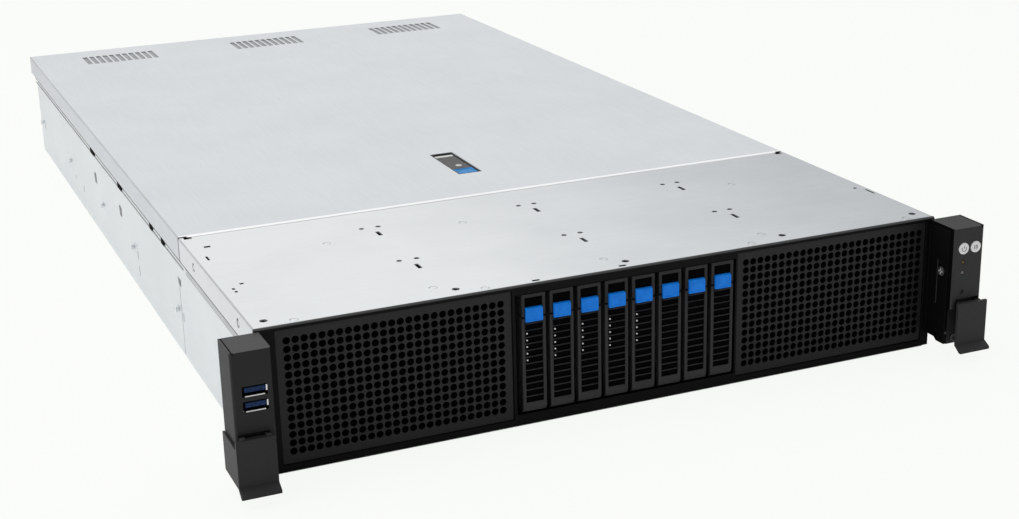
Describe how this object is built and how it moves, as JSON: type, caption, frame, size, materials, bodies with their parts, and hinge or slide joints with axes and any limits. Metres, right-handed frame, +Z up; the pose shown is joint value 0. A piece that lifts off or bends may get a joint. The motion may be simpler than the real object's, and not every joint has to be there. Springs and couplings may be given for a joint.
{
  "type": "rack server",
  "caption": "Two-unit rack server with a sliding rear cover, drive trays between perforated grilles, hinged rack-ear latches, fans and plug-in power supplies.",
  "frame": {"origin": "on the underside of the chassis floor, under the middle of the outer box in X and Y", "axes": "+X to the right seen from the front, +Y from the front frame to the rear, +Z up"},
  "size_m": [0.48, 0.8496, 0.087],
  "materials": {
    "galvanised_steel": "galvanised sheet with a soft satin sheen",
    "black_steel": "matt black powder coat",
    "black_plastic": "fine-grained black moulding",
    "blue_plastic": "bright blue satin moulding",
    "white_plastic": "white satin moulding",
    "bright_steel": "bright plated steel",
    "circuit_board": "green solder resist",
    "aluminium": "plain extruded aluminium",
    "fan_plastic": "black glass-filled moulding",
    "orange_plastic": "orange moulding on a touch point"
  },
  "bodies": {
    "root": {"chassis_base": "galvanised_steel", "front_cover": "galvanised_steel", "front_frame": "black_steel", "drive_cage": "galvanised_steel", "grille_left": "black_steel", "grille_right": "black_steel", "drive_backplane": "circuit_board", "left_ear": "black_plastic", "right_ear": "black_plastic", "usb_ports": "bright_steel", "status_leds": "circuit_board", "fan_frames": "black_plastic", "motherboard": "circuit_board", "cpu_heatsinks": "aluminium", "memory_modules": "circuit_board", "air_shroud": "black_plastic", "riser_cage": "galvanised_steel", "rear_ports": "bright_steel", "rear_panel": "galvanised_steel", "fasteners": "bright_steel"},
    "rear_cover": {"rear_cover": "galvanised_steel", "latch_base": "black_plastic"},
    "cover_lever": {"latch_lever": "black_plastic"},
    "cover_release": {"latch_tip": "blue_plastic"},
    "left_ear_latch": {"left_ear_latch": "black_plastic"},
    "right_ear_latch": {"right_ear_latch": "black_plastic"},
    "power_button": {"power_button": "white_plastic"},
    "id_button": {"id_button": "white_plastic"},
    "fan_rotor_1": {"fan_rotor_1": "fan_plastic"},
    "fan_rotor_2": {"fan_rotor_2": "fan_plastic"},
    "fan_rotor_3": {"fan_rotor_3": "fan_plastic"},
    "fan_rotor_4": {"fan_rotor_4": "fan_plastic"},
    "power_supply_1": {"power_supply_1": "galvanised_steel"},
    "psu_latch_1": {"psu_latch_1": "orange_plastic"},
    "power_supply_2": {"power_supply_2": "galvanised_steel"},
    "psu_latch_2": {"psu_latch_2": "orange_plastic"},
    "tray_1": {"tray_1": "black_plastic"},
    "tray_lever_1": {"tray_lever_1": "black_plastic"},
    "tray_button_1": {"tray_button_1": "blue_plastic"},
    "tray_2": {"tray_2": "black_plastic"},
    "tray_lever_2": {"tray_lever_2": "black_plastic"},
    "tray_button_2": {"tray_button_2": "blue_plastic"},
    "tray_3": {"tray_3": "black_plastic"},
    "tray_lever_3": {"tray_lever_3": "black_plastic"},
    "tray_button_3": {"tray_button_3": "blue_plastic"},
    "tray_4": {"tray_4": "black_plastic"},
    "tray_lever_4": {"tray_lever_4": "black_plastic"},
    "tray_button_4": {"tray_button_4": "blue_plastic"},
    "tray_5": {"tray_5": "black_plastic"},
    "tray_lever_5": {"tray_lever_5": "black_plastic"},
    "tray_button_5": {"tray_button_5": "blue_plastic"},
    "tray_6": {"tray_6": "black_plastic"},
    "tray_lever_6": {"tray_lever_6": "black_plastic"},
    "tray_button_6": {"tray_button_6": "blue_plastic"},
    "tray_7": {"tray_7": "black_plastic"},
    "tray_lever_7": {"tray_lever_7": "black_plastic"},
    "tray_button_7": {"tray_button_7": "blue_plastic"},
    "tray_8": {"tray_8": "black_plastic"},
    "tray_lever_8": {"tray_lever_8": "black_plastic"},
    "tray_button_8": {"tray_button_8": "blue_plastic"}
  },
  "joints": [
    {"name": "cover_slide", "type": "slide", "parent": "root", "child": "rear_cover", "axis": [0, 1, 0], "range_m": [0, 0.012]},
    {"name": "cover_lever_turn", "type": "hinge", "parent": "rear_cover", "child": "cover_lever", "pos_m": [-0.0009, -0.11285, 0.0836], "axis": [-1, 0, 0], "range_deg": [0, 70]},
    {"name": "cover_release_press", "type": "slide", "parent": "cover_lever", "child": "cover_release", "axis": [0, 0, -1], "range_m": [0, 0.001], "stiffness_N_per_m": 300},
    {"name": "left_ear_latch_turn", "type": "hinge", "parent": "root", "child": "left_ear_latch", "pos_m": [-0.22815, -0.41635, 0.0366], "axis": [-1, 0, 0], "range_deg": [0, 90]},
    {"name": "right_ear_latch_turn", "type": "hinge", "parent": "root", "child": "right_ear_latch", "pos_m": [0.22815, -0.41635, 0.0366], "axis": [-1, 0, 0], "range_deg": [0, 90]},
    {"name": "power_button_press", "type": "slide", "parent": "root", "child": "power_button", "axis": [0, 1, 0], "range_m": [0, 0.001], "stiffness_N_per_m": 500},
    {"name": "id_button_press", "type": "slide", "parent": "root", "child": "id_button", "axis": [0, 1, 0], "range_m": [0, 0.001], "stiffness_N_per_m": 500},
    {"name": "fan_1_spin", "type": "hinge", "parent": "root", "child": "fan_rotor_1", "pos_m": [-0.1575, -0.18725, 0.0415], "axis": [0, 1, 0], "continuous": true},
    {"name": "fan_2_spin", "type": "hinge", "parent": "root", "child": "fan_rotor_2", "pos_m": [-0.0525, -0.18725, 0.0415], "axis": [0, 1, 0], "continuous": true},
    {"name": "fan_3_spin", "type": "hinge", "parent": "root", "child": "fan_rotor_3", "pos_m": [0.0525, -0.18725, 0.0415], "axis": [0, 1, 0], "continuous": true},
    {"name": "fan_4_spin", "type": "hinge", "parent": "root", "child": "fan_rotor_4", "pos_m": [0.1575, -0.18725, 0.0415], "axis": [0, 1, 0], "continuous": true},
    {"name": "power_supply_1_slide", "type": "slide", "parent": "root", "child": "power_supply_1", "axis": [0, 1, 0], "range_m": [0, 0.12]},
    {"name": "psu_latch_1_press", "type": "slide", "parent": "power_supply_1", "child": "psu_latch_1", "axis": [-1, 0, 0], "range_m": [0, 0.0025], "stiffness_N_per_m": 400},
    {"name": "power_supply_2_slide", "type": "slide", "parent": "root", "child": "power_supply_2", "axis": [0, 1, 0], "range_m": [0, 0.12]},
    {"name": "psu_latch_2_press", "type": "slide", "parent": "power_supply_2", "child": "psu_latch_2", "axis": [-1, 0, 0], "range_m": [0, 0.0025], "stiffness_N_per_m": 400},
    {"name": "tray_1_slide", "type": "slide", "parent": "root", "child": "tray_1", "axis": [0, -1, 0], "range_m": [0, 0.1]},
    {"name": "tray_lever_1_turn", "type": "hinge", "parent": "tray_1", "child": "tray_lever_1", "pos_m": [-0.05635, -0.38705, 0.0112], "axis": [1, 0, 0], "range_deg": [0, 50]},
    {"name": "tray_button_1_press", "type": "slide", "parent": "tray_1", "child": "tray_button_1", "axis": [0, 1, 0], "range_m": [0, 0.0014], "stiffness_N_per_m": 400},
    {"name": "tray_2_slide", "type": "slide", "parent": "root", "child": "tray_2", "axis": [0, -1, 0], "range_m": [0, 0.1]},
    {"name": "tray_lever_2_turn", "type": "hinge", "parent": "tray_2", "child": "tray_lever_2", "pos_m": [-0.03875, -0.38705, 0.0112], "axis": [1, 0, 0], "range_deg": [0, 50]},
    {"name": "tray_button_2_press", "type": "slide", "parent": "tray_2", "child": "tray_button_2", "axis": [0, 1, 0], "range_m": [0, 0.0014], "stiffness_N_per_m": 400},
    {"name": "tray_3_slide", "type": "slide", "parent": "root", "child": "tray_3", "axis": [0, -1, 0], "range_m": [0, 0.1]},
    {"name": "tray_lever_3_turn", "type": "hinge", "parent": "tray_3", "child": "tray_lever_3", "pos_m": [-0.02115, -0.38705, 0.0112], "axis": [1, 0, 0], "range_deg": [0, 50]},
    {"name": "tray_button_3_press", "type": "slide", "parent": "tray_3", "child": "tray_button_3", "axis": [0, 1, 0], "range_m": [0, 0.0014], "stiffness_N_per_m": 400},
    {"name": "tray_4_slide", "type": "slide", "parent": "root", "child": "tray_4", "axis": [0, -1, 0], "range_m": [0, 0.1]},
    {"name": "tray_lever_4_turn", "type": "hinge", "parent": "tray_4", "child": "tray_lever_4", "pos_m": [-0.00355, -0.38705, 0.0112], "axis": [1, 0, 0], "range_deg": [0, 50]},
    {"name": "tray_button_4_press", "type": "slide", "parent": "tray_4", "child": "tray_button_4", "axis": [0, 1, 0], "range_m": [0, 0.0014], "stiffness_N_per_m": 400},
    {"name": "tray_5_slide", "type": "slide", "parent": "root", "child": "tray_5", "axis": [0, -1, 0], "range_m": [0, 0.1]},
    {"name": "tray_lever_5_turn", "type": "hinge", "parent": "tray_5", "child": "tray_lever_5", "pos_m": [0.01405, -0.38705, 0.0112], "axis": [1, 0, 0], "range_deg": [0, 50]},
    {"name": "tray_button_5_press", "type": "slide", "parent": "tray_5", "child": "tray_button_5", "axis": [0, 1, 0], "range_m": [0, 0.0014], "stiffness_N_per_m": 400},
    {"name": "tray_6_slide", "type": "slide", "parent": "root", "child": "tray_6", "axis": [0, -1, 0], "range_m": [0, 0.1]},
    {"name": "tray_lever_6_turn", "type": "hinge", "parent": "tray_6", "child": "tray_lever_6", "pos_m": [0.03165, -0.38705, 0.0112], "axis": [1, 0, 0], "range_deg": [0, 50]},
    {"name": "tray_button_6_press", "type": "slide", "parent": "tray_6", "child": "tray_button_6", "axis": [0, 1, 0], "range_m": [0, 0.0014], "stiffness_N_per_m": 400},
    {"name": "tray_7_slide", "type": "slide", "parent": "root", "child": "tray_7", "axis": [0, -1, 0], "range_m": [0, 0.1]},
    {"name": "tray_lever_7_turn", "type": "hinge", "parent": "tray_7", "child": "tray_lever_7", "pos_m": [0.04925, -0.38705, 0.0112], "axis": [1, 0, 0], "range_deg": [0, 50]},
    {"name": "tray_button_7_press", "type": "slide", "parent": "tray_7", "child": "tray_button_7", "axis": [0, 1, 0], "range_m": [0, 0.0014], "stiffness_N_per_m": 400},
    {"name": "tray_8_slide", "type": "slide", "parent": "root", "child": "tray_8", "axis": [0, -1, 0], "range_m": [0, 0.1]},
    {"name": "tray_lever_8_turn", "type": "hinge", "parent": "tray_8", "child": "tray_lever_8", "pos_m": [0.06685, -0.38705, 0.0112], "axis": [1, 0, 0], "range_deg": [0, 50]},
    {"name": "tray_button_8_press", "type": "slide", "parent": "tray_8", "child": "tray_button_8", "axis": [0, 1, 0], "range_m": [0, 0.0014], "stiffness_N_per_m": 400}
  ],
  "couplings": [
    {"joint": "cover_lever_turn", "follows": "cover_slide", "rad_per_m": 101.81}
  ]
}
